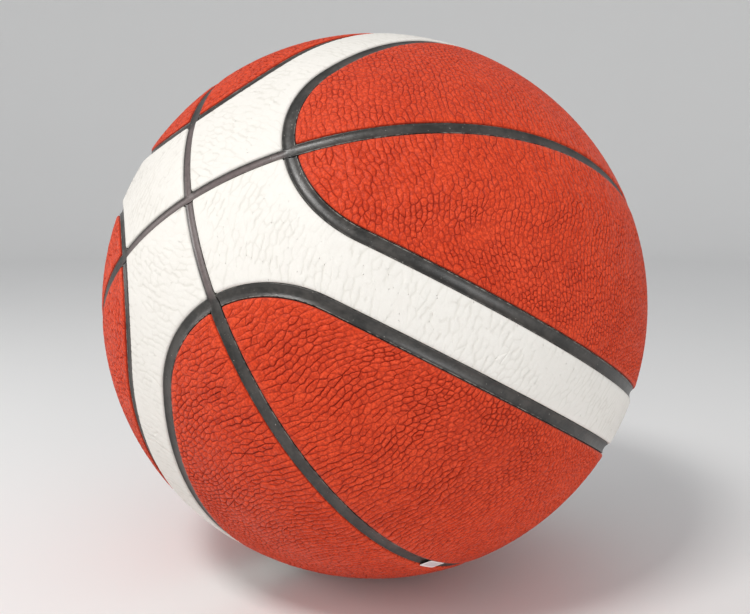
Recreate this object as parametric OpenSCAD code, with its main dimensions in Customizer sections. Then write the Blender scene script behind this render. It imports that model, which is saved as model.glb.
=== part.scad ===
// Match basketball in size 7: a butyl bladder with its valve, a wound nylon layer, a rubber carcass,
// and a cushioned cover of twelve glued panels with rubber strips sunk in the seams between them.
//
// The seam frame has its origin at the centre of the ball. Two ring seams cross at its Z axis, on the
// planes y = 0 and x = 0. Four loop seams stand round the directions +X, +Y, -X and -Y. Each loop is
// cut in half by a ring, which makes eight coloured panels, and four white bands lie between loops.

/* [Ball] */
// Diameter over the crowns of the cover panels
ball_d = 242; // [232:0.5:248]
// Turn of the seam frame about X, as the ball lies on the ground
lie_x = 61.1; // [-180:0.1:180]
// Turn of the seam frame about Y, after the turn about X
lie_y = -28.1; // [-180:0.1:180]
// Turn of the seam frame about Z, after the turn about Y
lie_z = -24; // [-180:0.1:180]

/* [Layers] */
// Thickness of the cover panels
cover_t = 1.4; // [1.2:0.1:2]
// Thickness of the foam backing under each cover panel
foam_t = 1; // [0.8:0.1:1.8]
// Thickness of the rubber carcass
carcass_t = 1.1; // [0.8:0.1:2]
// Thickness of the wound nylon thread layer
winding_t = 0.6; // [0.4:0.1:1.2]
// Thickness of the butyl bladder
bladder_t = 0.7; // [0.5:0.1:1.4]
// Film of cement between one layer and the next
bond_gap = 0.1; // [0.05:0.05:0.2]

/* [Seams] */
// Width of the ring seams between coloured panels
ring_seam_w = 5.2; // [4.6:0.1:6.3]
// Width of the ring seams between white panels
white_seam_w = 3.8; // [3.2:0.1:4.4]
// Width of the loop seams between coloured and white panels
loop_seam_w = 5; // [4.2:0.1:6.3]
// Distance along the surface between neighbouring loop seams, across the white band
band_w = 26.1; // [22:0.1:32]
// Radius along the surface of the round ends of the loop seams
loop_end_r = 47.9; // [40:0.1:56]
// Gap between a seam strip and the panels beside it
panel_gap = 0.15; // [0.1:0.05:0.25]

/* [Panel edges] */
// How far in from its edge each cover panel is skived
skive_w = 1; // [0.4:0.1:1.6]
// How much lower the skived edge ends than the crown
skive_drop = 0.6; // [0.2:0.1:0.9]

/* [Seam strips] */
// How far the edges of a strip lie below the crowns
strip_drop = 0.7; // [0.5:0.1:0.9]
// Depth of the channel below the edges of its strip
channel_depth = 0.6; // [0.3:0.1:0.8]
// Width of the flat lip along each side of the channel
strip_lip_w = 0.4; // [0.2:0.1:0.6]

/* [Valve] */
// Diameter of the valve stem where it passes through the carcass
stem_d = 11; // [9.5:0.5:12]
// Diameter of the valve head that shows in the seam
head_d = 6.4; // [5:0.2:7.4]
// Diameter of the round boss on the strip around the valve head
boss_d = 10.4; // [9:0.2:13]
// How far the valve head lies below the boss
head_sink = 0.3; // [0.1:0.1:0.6]
// Diameter of the entry hole in the valve head
entry_d = 3; // [2.6:0.1:3.6]
// Diameter of the needle guide in the valve core
guide_d = 2.2; // [2.1:0.05:2.5]
// Length of the needle guide
guide_l = 8; // [6:0.5:9]
// Diameter of the valve core
core_d = 6; // [4.6:0.2:6.6]
// Length of the valve core inside its housing
core_l = 13; // [11:0.5:16]
// Thickness of the lip at the inner end of the valve core
core_lip_t = 1; // [0.6:0.1:1.6]
// How far that lip stands out from the core
core_lip_w = 1; // [0.6:0.1:1.4]
// Thickness of the valve head above the core
head_wall = 1; // [0.8:0.1:1.4]
// Wall of the housing round the core, inside the bladder
barrel_wall = 1.4; // [1:0.1:2.4]
// Diameter of the base flange that is cemented inside the bladder
flange_d = 30; // [24:1:40]
// Thickness of the base flange
flange_t = 1.2; // [0.8:0.1:2]
// Clearance round the valve stem, head and core
valve_gap = 0.05; // [0.05:0.01:0.15]

/* [Label] */
// Length of the blank label, along the seam that it is stuck across
label_l = 10; // [8:0.5:16]
// Width of the blank label, across the seam
label_w = 6; // [5.5:0.5:12]
// Thickness of the blank label
label_t = 0.12; // [0.1:0.01:0.3]
// Distance of the middle of the label from the middle of the loop that it lies in
label_shift = 2; // [0:0.1:20]
// Turn of the label against the seam
label_turn = 1; // [-20:1:20]

/* [Hidden] */
// The halves of the four loops: the direction of the loop, in degrees round the seam frame's Z axis
// from +X, and 1 where the half is mirrored across the plane of its ring
half_names = [
    "right_upper", "right_lower", "top_left", "top_right",
    "left_lower", "left_upper", "bottom_right", "bottom_left"
];
half_turns = [0, 0, 90, 90, 180, 180, 270, 270];
half_mirrors = [0, 1, 0, 1, 0, 1, 0, 1];
// The direction of the loop that holds the valve
valve_turn = 90;
// The white bands between the loops, by the direction of the loop before each one
band_names = ["band_top_right", "band_top_left", "band_bottom_left", "band_bottom_right"];
band_turns = [0, 90, 180, 270];

cover_red = "#c5412a";
band_white = "#e8e4de";
strip_dark = "#3a3436";
foam_grey = "#b9b4aa";
carcass_dark = "#2b2a2a";
thread_cream = "#d8d2c0";
butyl_black = "#1f1f20";
core_brown = "#8a5a3a";
label_white = "#f4f2f0";

$fn = 180;

// Radii of the layers, from the crown inwards
crown_r = ball_d / 2;
cover_in_r = crown_r - cover_t;
foam_out_r = cover_in_r - bond_gap;
foam_in_r = foam_out_r - foam_t;
carcass_out_r = foam_in_r - bond_gap;
carcass_in_r = carcass_out_r - carcass_t;
winding_out_r = carcass_in_r - bond_gap;
winding_in_r = winding_out_r - winding_t;
bladder_out_r = winding_in_r - bond_gap;
bladder_in_r = bladder_out_r - bladder_t;

// How far a cutting shape runs past what it cuts
overrun_share = 0.004;
overrun = ball_d * overrun_share;
// Angles that a cutting profile reaches beyond a panel's edge
near_span = 10;
far_span = 50;
inside_r = crown_r / 2;
outside_r = ball_d;

// A seam strip, from the carcass up to its lips
strip_base_r = foam_in_r;
strip_top_r = crown_r - strip_drop;
strip_floor_r = strip_top_r - channel_depth;
// Width of the channel's floor, as a share of the channel
floor_share = 0.45;
// Where two pieces of a strip run into each other, one is fuller by a small step
step_share = 0.05;
strip_step = channel_depth * step_share;
lap_share = 0.04;
strip_lap = ring_seam_w * lap_share;

// Distances from the middle of a seam to the panels beside it
ring_side = ring_seam_w / 2 + panel_gap;
white_side = white_seam_w / 2 + panel_gap;
loop_side = loop_seam_w / 2 + panel_gap;

// An arc along the crown, as an angle at the centre of the ball
function turn_of(arc) = arc / crown_r * 180 / PI;
// The point of a turned profile at radius r and at the angle polar from its axis
function at(r, polar) = [r * sin(polar), r * cos(polar)];

// Each loop end is a circle about a leaning axis, and each loop side a circle about a level axis.
// The two circles touch on the plane that holds both axes.
band_half = turn_of(band_w / 2);
end_half = turn_of(loop_end_r);
end_lean = asin(sin(end_half + band_half) / sin(45));
end_sweep = acos(tan(end_half + band_half) / tan(end_lean));
side_half = 90 - band_half;
side_start = acos(cos(end_lean) / cos(end_half + band_half));
// The end of a panel is a little larger than a true touching circle, so that the cuts stay apart
end_ease_share = 0.002;
panel_end_half = end_half - turn_of(band_w * end_ease_share);
// The rings are narrow from one loop end to the next, across the white bands
narrow_half = end_lean - end_half - turn_of(loop_seam_w / 2 - panel_gap);

// Lean of the full layers' poles
pole_lean = 4;

// A narrow label lies lower, on the skived edges beside the seam. Its corners reach furthest.
label_reach = label_w / 2 * cos(label_turn) + label_l / 2 * abs(sin(label_turn));
label_ride = max(0, min(1, (label_reach - ring_side) / skive_w));
label_in_r = crown_r - skive_drop * (1 - label_ride) + bond_gap;

// Heights along the valve's axis, from the centre of the ball
boss_top = strip_top_r + 2 * strip_step;
head_top = boss_top - head_sink;
stem_top = carcass_out_r;
core_top = head_top - head_wall;
core_end = core_top - core_l;
stem_r = stem_d / 2;
head_r = head_d / 2;
core_r = core_d / 2;
bore_r = core_r + valve_gap;
barrel_r = bore_r + barrel_wall;
flange_out_r = bladder_in_r - bond_gap;
flange_in_r = flange_out_r - flange_t;

// Turns the seam frame to the way that the ball lies
module lying() {
    rotate([lie_x, lie_y, lie_z]) children();
}

// Puts a half loop made for +X, on the side of +Y, at half number i
module at_half(i) {
    lying() rotate([0, 0, half_turns[i]]) mirror([0, half_mirrors[i], 0]) children();
}

// Puts a white band made between +X and +Y at band number i
module at_band(i) {
    lying() rotate([0, 0, band_turns[i]]) children();
}

// Turns +Z to the direction of the valve
module at_valve() {
    lying() rotate([-90, 0, 0]) children();
}

// Turns +Z to the axis of the upper end of the loop at +X
module end_axis() {
    rotate([0, end_lean, 0]) children();
}

// Turns +Z to the axis of the side of the loop at +X that lies towards +Y
module side_axis() {
    rotate([0, 90, -45]) children();
}

// Everything further than d from the plane y = 0, on the side of +Y
module beyond(d) {
    translate([-outside_r, d, -outside_r]) cube(outside_r * 2);
}

// Mirrors a shape made between +X and +Y across the plane midway between them
module other_side() {
    mirror([1, -1, 0]) children();
}

// Turned profile of a shell, from its axis out to the angle polar
module shell_profile(in_r, out_r, polar) {
    reach = out_r + overrun;
    corner = reach / cos(polar / 2);
    intersection() {
        difference() {
            circle(r = out_r);
            circle(r = in_r);
        }
        polygon([[0, 0], at(reach, 0), at(corner, polar / 2), at(reach, polar)]);
    }
}

// Turned profile of all that lies outside a panel's edge at the angle polar. The edge leans inwards
// over the skive, or outwards where the skive is negative.
module away_profile(polar, skive, low_r, high_r, span) {
    slope = turn_of(skive) * (1 + overrun / skive_drop);
    polygon([
        at(low_r, polar), at(crown_r - skive_drop, polar), at(crown_r + overrun, polar - slope),
        at(high_r, polar - slope), at(high_r, polar + span), at(low_r, polar + span)
    ]);
}

// Cuts off what lies outside the upper end of the loop at +X
module end_cut(polar, skive) {
    end_axis() rotate([0, 0, 180 - end_sweep]) {
        rotate_extrude(angle = end_sweep) away_profile(polar, skive, inside_r, outside_r, far_span);
    }
}

// Lowers the edge of a panel along the ring on the plane y = 0, at the distance side from it
module ring_skive(side) {
    rotate([-90, 0, 0]) rotate([0, 0, -90]) rotate_extrude(angle = 180) {
        away_profile(90 - turn_of(side), skive_w, foam_in_r, crown_r + 2 * overrun, turn_of(side));
    }
}

// A full layer. Its poles lean off the crossings of the rings, clear of the panels' corners.
module layer(in_r, out_r) {
    rotate([0, pole_lean, 0]) difference() {
        sphere(r = out_r);
        sphere(r = in_r);
    }
}

// Turned profile, thicker than the cover, of what lies inside the side of a loop
module side_profile(polar, skive) {
    low_r = foam_in_r - overrun;
    high_r = crown_r + overrun;
    if (skive == 0) {
        shell_profile(low_r, high_r, polar);
    } else {
        difference() {
            shell_profile(low_r, high_r, polar + turn_of(loop_side));
            away_profile(polar, skive, inside_r, outside_r, near_span);
        }
    }
}

// The loop at +X beyond the plane y = from, thicker than the cover, with its edge moved out by offset
module loop_block(from, offset, skive) {
    end_edge = panel_end_half + turn_of(offset);
    difference() {
        difference() {
            intersection() {
                side_axis() rotate_extrude(angle = 180) {
                    side_profile(side_half + turn_of(offset), skive);
                }
                beyond(from);
            }
            end_cut(end_edge, skive);
        }
        mirror([0, 0, 1]) end_cut(end_edge, skive);
    }
}

// A coloured panel or its foam, for the loop at +X on the side of +Y
module coloured_layer(in_r, out_r, skive) {
    difference() {
        intersection() {
            layer(in_r, out_r);
            loop_block(ring_side, -loop_side, skive);
        }
        if (skive > 0) ring_skive(ring_side);
    }
}

// A white panel or its foam, between the loops at +X and +Y
module band_layer(in_r, out_r, skive) {
    difference() {
        difference() {
            difference() {
                difference() {
                    intersection() {
                        layer(in_r, out_r);
                        translate([white_side, white_side, -outside_r]) cube(outside_r * 2);
                    }
                    if (skive > 0) ring_skive(white_side);
                }
                if (skive > 0) other_side() ring_skive(white_side);
            }
            loop_block(0, loop_side, -skive);
        }
        other_side() loop_block(0, loop_side, -skive);
    }
}

// Profile of a seam strip of width w at the angle polar, with its sunk channel
module strip_profile(polar, w, fuller = 0) {
    side = turn_of(w / 2 + fuller);
    lip = turn_of(w / 2 - strip_lip_w);
    floor_side = lip * floor_share;
    base_r = strip_base_r - fuller;
    top_r = strip_top_r + fuller;
    floor_r = strip_floor_r + fuller;
    polygon([
        at(base_r, polar - side), at(top_r, polar - side), at(top_r, polar - lip),
        at(floor_r, polar - floor_side), at(floor_r, polar + floor_side),
        at(top_r, polar + lip), at(top_r, polar + side), at(base_r, polar + side)
    ]);
}

// Part of a ring strip on the plane y = 0: the middle of the arc and half its length, in degrees
// from +X, the strip's width and its fullness
module ring_arc(middle, half, w, fuller = 0) {
    rotate([90, 0, 0]) rotate([0, 0, middle - half]) {
        rotate_extrude(angle = 2 * half) strip_profile(90, w, fuller);
    }
}

// The wide part of a ring strip round +X, with the narrow part beyond each end of it
module ring_half() {
    narrow_turn = narrow_half + turn_of(strip_lap);
    ring_arc(0, 90 - narrow_half, ring_seam_w, strip_step);
    ring_arc(90, narrow_turn, white_seam_w);
    ring_arc(-90, narrow_turn, white_seam_w);
}

// The ring strip that runs all the way round
module ring_strip_whole() {
    color(strip_dark) lying() {
        ring_half();
        ring_arc(180, 90 - narrow_half, ring_seam_w, strip_step);
    }
}

// Half of the crossing ring strip, for the loop in the direction of +Y
module crossing_strip() {
    intersection() {
        rotate([0, 0, 90]) ring_half();
        beyond(white_side);
    }
}

// The boss round the valve head, along +Z
module valve_boss() {
    rotate_extrude() {
        polygon([
            [0, strip_base_r - strip_step], [boss_d / 2, strip_base_r - strip_step],
            [boss_d / 2, boss_top - strip_step], [boss_d / 2 - strip_lip_w, boss_top], [0, boss_top]
        ]);
    }
}

// The half ring strip that carries the valve
module ring_strip_top() {
    color(strip_dark) lying() difference() {
        union() {
            crossing_strip();
            rotate([-90, 0, 0]) valve_boss();
        }
        rotate([-90, 0, 0]) cylinder(r = head_r + valve_gap, h = outside_r);
    }
}

// The half ring strip across the bottom loop
module ring_strip_bottom() {
    color(strip_dark) lying() mirror([0, 1, 0]) crossing_strip();
}

// The seam strip of half number i, which ends at the ring
module loop_strip(i) {
    lap = turn_of(strip_lap);
    sweep = 180 - 2 * (side_start - lap);
    color(strip_dark) at_half(i) intersection() {
        union() {
            loop_end_strip();
            mirror([0, 0, 1]) loop_end_strip();
            side_axis() rotate([0, 0, side_start - lap]) {
                rotate_extrude(angle = sweep) strip_profile(side_half, loop_seam_w);
            }
        }
        beyond(ring_side);
    }
}

// The strip round the upper end of the loop at +X
module loop_end_strip() {
    end_axis() rotate([0, 0, 180 - end_sweep]) {
        rotate_extrude(angle = end_sweep) strip_profile(end_half, loop_seam_w, strip_step);
    }
}

// Whether half number i has a notch for the valve boss
function at_boss(i) = half_turns[i] == valve_turn;

// The notch for the valve boss, in a half made for +X
module boss_notch() {
    rotate([0, 90, 0]) cylinder(r = boss_d / 2 + panel_gap, h = outside_r);
}

module coloured_cover(i) {
    color(cover_red) at_half(i) difference() {
        coloured_layer(cover_in_r, crown_r, skive_w);
        if (at_boss(i)) boss_notch();
    }
}

module coloured_foam(i) {
    color(foam_grey) at_half(i) difference() {
        coloured_layer(foam_in_r, foam_out_r, 0);
        if (at_boss(i)) boss_notch();
    }
}

module band_cover(i) {
    color(band_white) at_band(i) band_layer(cover_in_r, crown_r, skive_w);
}

module band_foam(i) {
    color(foam_grey) at_band(i) band_layer(foam_in_r, foam_out_r, 0);
}

// A full layer with the hole for the valve stem
module inner_layer(in_r, out_r) {
    at_valve() difference() {
        layer(in_r, out_r);
        cylinder(r = stem_r + valve_gap, h = outside_r);
    }
}

module rubber_carcass() {
    color(carcass_dark) inner_layer(carcass_in_r, carcass_out_r);
}

module nylon_winding() {
    color(thread_cream) inner_layer(winding_in_r, winding_out_r);
}

module bladder() {
    color(butyl_black) inner_layer(bladder_in_r, bladder_out_r);
}

// The valve housing: a flange under the bladder, a stem, a head, and a barrel round the core
module valve_housing() {
    flange_turn = asin(flange_d / 2 / flange_out_r);
    root_z = flange_in_r * cos(flange_turn);
    color(butyl_black) at_valve() difference() {
        union() {
            rotate_extrude() shell_profile(flange_in_r, flange_out_r, flange_turn);
            translate([0, 0, root_z]) cylinder(r = stem_r, h = stem_top - root_z);
            translate([0, 0, core_end]) cylinder(r = barrel_r, h = stem_top - core_end - overrun);
            translate([0, 0, root_z]) cylinder(r = head_r, h = head_top - root_z);
        }
        translate([0, 0, core_end - overrun]) cylinder(r = bore_r, h = core_l + overrun + valve_gap);
        cylinder(r = entry_d / 2, h = outside_r);
    }
}

// The valve core: a rubber plug with a lip at its inner end and a guide for the needle
module valve_core() {
    color(core_brown) at_valve() difference() {
        union() {
            translate([0, 0, core_end - core_lip_t]) cylinder(r = core_r, h = core_l + core_lip_t);
            translate([0, 0, core_end - core_lip_t - valve_gap]) {
                cylinder(r = core_r + core_lip_w, h = core_lip_t);
            }
        }
        translate([0, 0, core_top - guide_l]) cylinder(r = guide_d / 2, h = guide_l + overrun);
    }
}

// The blank label, which bridges the seam at the middle of the bottom loop
module blank_label() {
    color(label_white) lying() rotate([90, 0, 0]) intersection() {
        layer(label_in_r, label_in_r + label_t);
        rotate([turn_of(label_shift), 0, 0]) rotate([0, 0, label_turn]) {
            translate([-label_w / 2, -label_l / 2, 0]) cube([label_w, label_l, outside_r]);
        }
    }
}

bladder();
valve_housing();
valve_core();
nylon_winding();
rubber_carcass();
for (i = [0 : len(half_names) - 1]) {
    coloured_foam(i);
    coloured_cover(i);
    loop_strip(i);
}
for (i = [0 : len(band_names) - 1]) {
    band_foam(i);
    band_cover(i);
}
ring_strip_whole();
ring_strip_top();
ring_strip_bottom();
blank_label();
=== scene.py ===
import math

import bpy
import numpy as np
from mathutils import Matrix, Vector, kdtree, noise
from mathutils.geometry import delaunay_2d_cdt


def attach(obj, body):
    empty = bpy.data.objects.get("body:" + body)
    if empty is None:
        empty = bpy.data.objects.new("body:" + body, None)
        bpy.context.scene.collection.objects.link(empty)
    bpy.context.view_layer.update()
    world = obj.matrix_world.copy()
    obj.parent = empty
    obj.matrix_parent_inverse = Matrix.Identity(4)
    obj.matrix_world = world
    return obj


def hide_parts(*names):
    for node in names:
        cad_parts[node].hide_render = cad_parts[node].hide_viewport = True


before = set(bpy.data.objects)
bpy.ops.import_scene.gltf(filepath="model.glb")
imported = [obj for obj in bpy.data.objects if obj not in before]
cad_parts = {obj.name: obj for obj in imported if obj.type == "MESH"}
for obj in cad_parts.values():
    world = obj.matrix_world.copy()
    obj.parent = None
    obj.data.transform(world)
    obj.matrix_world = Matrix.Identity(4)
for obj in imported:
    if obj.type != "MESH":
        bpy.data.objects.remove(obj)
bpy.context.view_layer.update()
print("frame loaded:", len(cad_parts), "nodes")

# Lengths are in millimetres here, and turn to metres where a mesh is made.
mm = 0.001

ball = {
    "crown": 121.0,  # radius over the tops of the panels
    "under": 119.6,  # underside of the panels
    "underStep": 7,  # spacing of the underside's points
    "edgeDrop": 0.5,  # how far a panel turns down at its edge
    "edgePower": 2.2,  # how late it turns down
    "edgeCalm": 0.72,  # share of its depth that a crease loses at the edge
    "sharp": 62,  # degrees from which an edge of the mesh stays sharp
    "tilt": 19.4,  # degrees that the middle line of a coloured half leans from its ring
    "lie": (61.1, -28.1, -24.0),  # turns of the seam frame about X, Y and Z
}
seam = {
    "ringWidth": 5.2,
    "whiteWidth": 3.8,
    "loopWidth": 5.0,
    "bandWidth": 26.1,  # from one loop seam to the next, across a white band
    "endRadius": 47.9,  # round end of a loop, along the surface
    "gap": 0.15,
    "base": 118.5,
    "floor": 119.7,
    "lip": 120.3,
    "lipShare": 0.86,  # where the lip starts, as a share of half the width
    "hollow": 2.6,  # power of the channel's curve
}
boss = {"outer": 5.2, "hole": 3.25, "top": 120.36, "chamfer": 0.4}
crown = ball["crown"]

# Places on the ball


def axisTurn(axis, degrees):
    return np.array(Matrix.Rotation(math.radians(degrees), 3, axis))


def unit(x, y, z):
    v = np.array([x, y, z], float)
    return v / np.linalg.norm(v)


lying = axisTurn("Z", ball["lie"][2]) @ axisTurn("Y", ball["lie"][1]) @ axisTurn("X", ball["lie"][0])

# The halves of the four loops: name, direction of the loop round Z, and -1 where it is mirrored.
halves = [
    ("right_upper", 0, 1), ("right_lower", 0, -1), ("top_left", 90, 1), ("top_right", 90, -1),
    ("left_lower", 180, 1), ("left_upper", 180, -1), ("bottom_right", 270, 1), ("bottom_left", 270, -1),
]
bands = [("band_top_right", 0), ("band_top_left", 90), ("band_bottom_left", 180), ("band_bottom_right", 270)]
valveTurn = 90

# The loop at +X is a circle about a leaning axis at each end and one about a level axis at the side.
bandHalf = seam["bandWidth"] / 2 / crown
endHalf = seam["endRadius"] / crown
endLean = math.asin(math.sin(endHalf + bandHalf) / math.sin(math.pi / 4))
endSweep = math.acos(math.tan(endHalf + bandHalf) / math.tan(endLean))
sideHalf = math.pi / 2 - bandHalf
sideStart = math.acos(math.cos(endLean) / math.cos(endHalf + bandHalf))
endAxis = unit(math.sin(endLean), 0, math.cos(endLean))
endAxes = (unit(math.cos(endLean), 0, -math.sin(endLean)), unit(0, 1, 0), endAxis)
sideAxes = (unit(0, 0, -1), unit(1, 1, 0), unit(1, -1, 0))
ringAxes = (unit(1, 0, 0), unit(0, 0, 1), unit(0, 1, 0))
bossAxes = (unit(0, 1, 0), unit(0, 0, 1), unit(1, 0, 0))
endFromSide = np.cross(endAxes[2], sideAxes[2])
endFromSide = endFromSide * np.sign(endFromSide[2])
upsideDown = np.array([1, 1, -1])

ringSide = seam["ringWidth"] / 2 + seam["gap"]
whiteSide = seam["whiteWidth"] / 2 + seam["gap"]
loopSide = seam["loopWidth"] / 2 + seam["gap"]


def halfPlace(turn, flip=1):
    return lying @ axisTurn("Z", turn) @ np.diag([1, flip, 1])


def circlePoint(axes, half, turn):
    half, turn = np.broadcast_arrays(half, turn)
    level = np.cos(turn)[..., None] * axes[0] + np.sin(turn)[..., None] * axes[1]
    return np.cos(half)[..., None] * axes[2] + np.sin(half)[..., None] * level


def circleArc(axes, half, start, stop, step=0.4):
    count = max(2, int(abs(stop - start) * math.sin(half) * crown / step))
    return circlePoint(axes, half, np.linspace(start, stop, count + 1))


# Distance along the surface to the nearer ring, to the other ring, and to the loop's line (inside is +).
def seamGaps(points):
    folded = np.abs(points / np.linalg.norm(points, axis=-1, keepdims=True))
    big = np.maximum(folded[..., 0], folded[..., 1])
    small = np.minimum(folded[..., 0], folded[..., 1])
    folded = np.stack([big, small, folded[..., 2]], axis=-1)
    nearRing = crown * np.arcsin(np.clip(small, 0, 1))
    farRing = crown * np.arcsin(np.clip(big, 0, 1))
    toEnd = endHalf - np.arccos(np.clip(folded @ endAxes[2], -1, 1))
    toSide = sideHalf - np.arccos(np.clip(folded @ sideAxes[2], -1, 1))
    loop = crown * np.where(folded @ endFromSide > 0, toEnd, toSide)
    return nearRing, farRing, loop


# A line beside the loop seam, from the lower ring edge round the side to the upper one.
def loopEdge(side, edge):
    half = endHalf + side / crown
    tip = math.pi - math.asin(math.sin(edge / crown) / math.sin(half))
    upper = circleArc(endAxes, half, math.pi - endSweep, tip)
    along = circleArc(sideAxes, sideHalf + side / crown, sideStart, math.pi - sideStart)
    return np.concatenate([(upper[::-1] * upsideDown)[:-1], along, upper[1:]])


def ringArc(edge, start, stop):
    return circleArc(ringAxes, math.pi / 2 - edge / crown, start, stop)


def ringTurn(point):
    return math.atan2(point[2], point[0])


# The border of a coloured half: the loop's edge, then the ring's, which bends round the valve's boss.
def halfPieces(notched):
    side = loopEdge(-loopSide, ringSide)
    tip = ringTurn(side[-1])
    if not notched:
        return [side, ringArc(ringSide, tip, -tip)]
    notch = math.asin((boss["outer"] + seam["gap"]) / crown)
    beside = math.acos(math.cos(notch) / math.cos(ringSide / crown))
    around = math.acos(math.sin(ringSide / crown) / math.sin(notch))
    bite = circleArc(bossAxes, notch, around, -around, 0.2)
    return [side, ringArc(ringSide, tip, beside), bite, ringArc(ringSide, -beside, -tip)]


def bandPieces():
    side = loopEdge(loopSide, whiteSide)[::-1]
    tip = ringTurn(side[0])
    corner = math.acos(math.tan(whiteSide / crown))
    upper = ringArc(whiteSide, corner, tip)
    lower = ringArc(whiteSide, -tip, -corner)
    swap = [1, 0, 2]
    return [lower[::-1][:, swap], side[::-1][:, swap], upper[::-1][:, swap], upper, side, lower]


# A panel is laid out flat along a great circle through Z, and wrapped back on the ball afterwards.
halfTilt = math.radians(ball["tilt"])
halfLayout = (unit(math.cos(halfTilt), math.sin(halfTilt), 0), unit(math.sin(halfTilt), -math.cos(halfTilt), 0))
bandLayout = (unit(1, 1, 0), unit(1, -1, 0))


def laidOut(points, layout):
    middle, across = layout
    turn = np.arctan2(points @ unit(0, 0, 1), points @ middle)
    return crown * np.stack([turn, np.arcsin(points @ across)], axis=-1)


def wrapped(flat, layout):
    middle, across = layout
    turn, rise = flat[:, 0:1] / crown, flat[:, 1:2] / crown
    level = np.cos(turn) * middle + np.sin(turn) * unit(0, 0, 1)
    return np.cos(rise) * level + np.sin(rise) * across


# Lines and nearest points


def lineLengths(line):
    return np.concatenate([[0], np.cumsum(np.linalg.norm(np.diff(line, axis=0), axis=1))])


def evenly(line, step):
    far = lineLengths(line)
    want = np.linspace(0, far[-1], max(2, int(far[-1] / step) + 1))
    return np.stack([np.interp(want, far, line[:, k]) for k in (0, 1)], axis=-1)


def trimmed(line, cut):
    far = lineLengths(line)
    kept = line[(far > cut) & (far < far[-1] - cut)]
    ends = [[np.interp(d, far, line[:, k]) for k in (0, 1)] for d in (cut, far[-1] - cut)]
    return np.concatenate([[ends[0]], kept, [ends[1]]])


def roundedOutline(pieces, cut):
    parts, corners = [], []
    short = [trimmed(piece, cut) for piece in pieces]
    s = np.linspace(0, 1, 9)[:, None]
    for k, piece in enumerate(short):
        after = short[(k + 1) % len(short)]
        curve = (1 - s) ** 2 * piece[-1] + 2 * s * (1 - s) * pieces[k][-1] + s**2 * after[0]
        parts += [piece[:-1], curve[:-1]]
        corners.append(curve[4])
    return np.concatenate(parts), np.array(corners)


def insideOutline(points, outline):
    x, y = points[:, 0:1], points[:, 1:2]
    ax, ay = outline[:, 0], outline[:, 1]
    bx, by = np.roll(ax, -1), np.roll(ay, -1)
    spans = (ay > y) != (by > y)
    with np.errstate(divide="ignore", invalid="ignore"):
        crossed = x < ax + (y - ay) / (by - ay) * (bx - ax)
    return (spans & crossed).sum(axis=1) % 2 == 1


def treeOf(points):
    tree = kdtree.KDTree(len(points))
    for k, p in enumerate(points):
        tree.insert((p[0], p[1], 0), k)
    tree.balance()
    return tree


def nearestOn(tree, points):
    found = [tree.find((p[0], p[1], 0)) for p in points]
    return np.array([f[0][:2] for f in found]), np.array([f[2] for f in found])


# A sum of waves within a fan of headings; its size is the mean height.
def makeSwell(draw, count, shortest, longest, size, heading=0.0, fan=math.pi):
    turn = heading + draw.uniform(-fan, fan, count)
    wave = 2 * math.pi / draw.uniform(shortest, longest, count)
    phase = draw.uniform(0, 2 * math.pi, count)
    return np.cos(turn) * wave, np.sin(turn) * wave, phase, size / math.sqrt(count / 2)


def swellAt(swell, x, y):
    fx, fy, phase, size = swell
    return size * np.sin(x[..., None] * fx + y[..., None] * fy + phase).sum(axis=-1)


# Pebbled leather

orangeGrain = {
    "along": 2.15,  # mean width of a pebble along the panel
    "across": 4.6,  # its length across the panel, beside the ring
    "tighten": 0.034,  # how much shorter the pebbles get towards the loop
    "swell": 1.3,  # how far the rows of pebbles wave about
    "swellLength": 46.0,
    "scatter": (0.22, 0.42),  # shares of a pebble that it may lie off its row
    "missing": 0.05,  # share of the pebbles whose place goes to their neighbours
    "clear": 0.3,  # rows from the border within which no pebble has its middle
    "mirror": 1.7,  # rows from the border within which pebbles are mirrored beyond it
    "merge": 0.26,  # creases shorter than this close up
    "step": 1.1,  # spacing of the points along a crease
    "edgeStep": 0.8,  # the same along the border
    "bendAt": 0.3,  # distance from its ends at which a crease along the panel may bend
    "wander": 0.1,  # how far a crease strays from a straight line
    "cross": (0.3, 0.85),  # strength of the creases along the panel, by the ring and by the loop
    "crossReach": 60,  # distance from the ring at which the second strength is reached
    "steepPower": 1.8,  # how late a crease gets stronger as it turns across the panel
    "faint": 0.6,  # the weakest share that chance leaves a crease
    "strongest": 1.15,
    "streak": 0.16,  # how much stronger or weaker whole creases across the panel get
    "patchy": 0.1,  # the same for whole patches of the panel
    "crease": 0.32,  # half the width of a crease
    "narrowest": 0.15,  # the least half width that a pebble is taken to have
    "room": 0.36,  # share of that half width that a crease may take
    "dome": ((1, 0.52, 0.3), (2.1, 0.14, 0.08)),  # rings up a pebble: distance in creases, drop, painted crease shade
    "uneven": 0.12,  # how much lower some pebbles lie
    "depth": 0.66,  # depth of the deepest creases
    "edgeWidth": 1.3,  # width of the edge that turns down
    "corner": 0.7,  # cut of the panel's rounded corners
    "white": False,
}
whiteGrain = dict(
    orangeGrain, along=2.5, across=4.2, tighten=0, crease=0.6, dome=((1, 0.6, 0.5), (1.9, 0.25, 0.2)), depth=0.15,
    cross=(0.5, 0.5), faint=0.2, patchy=0.3, corner=1.1, white=True,
)
# the two halves at the right are smoother
calmGrain = dict(orangeGrain, across=4.35, depth=0.5, cross=(0.4, 0.9), uneven=0.08)


# The line on the sheet that the rows of pebbles follow: the ring beside a coloured half, level in a white band.
def rowLine(x, sheet):
    if sheet["grain"]["white"]:
        return 0 * x + sheet["ringEdge"]
    return crown * np.arcsin(np.cos(x / crown) * math.sin(halfTilt))


def columnPull(depth, sheet):
    return 1 if sheet["grain"]["white"] else 1 + depth * math.sin(halfTilt) / crown


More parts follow.
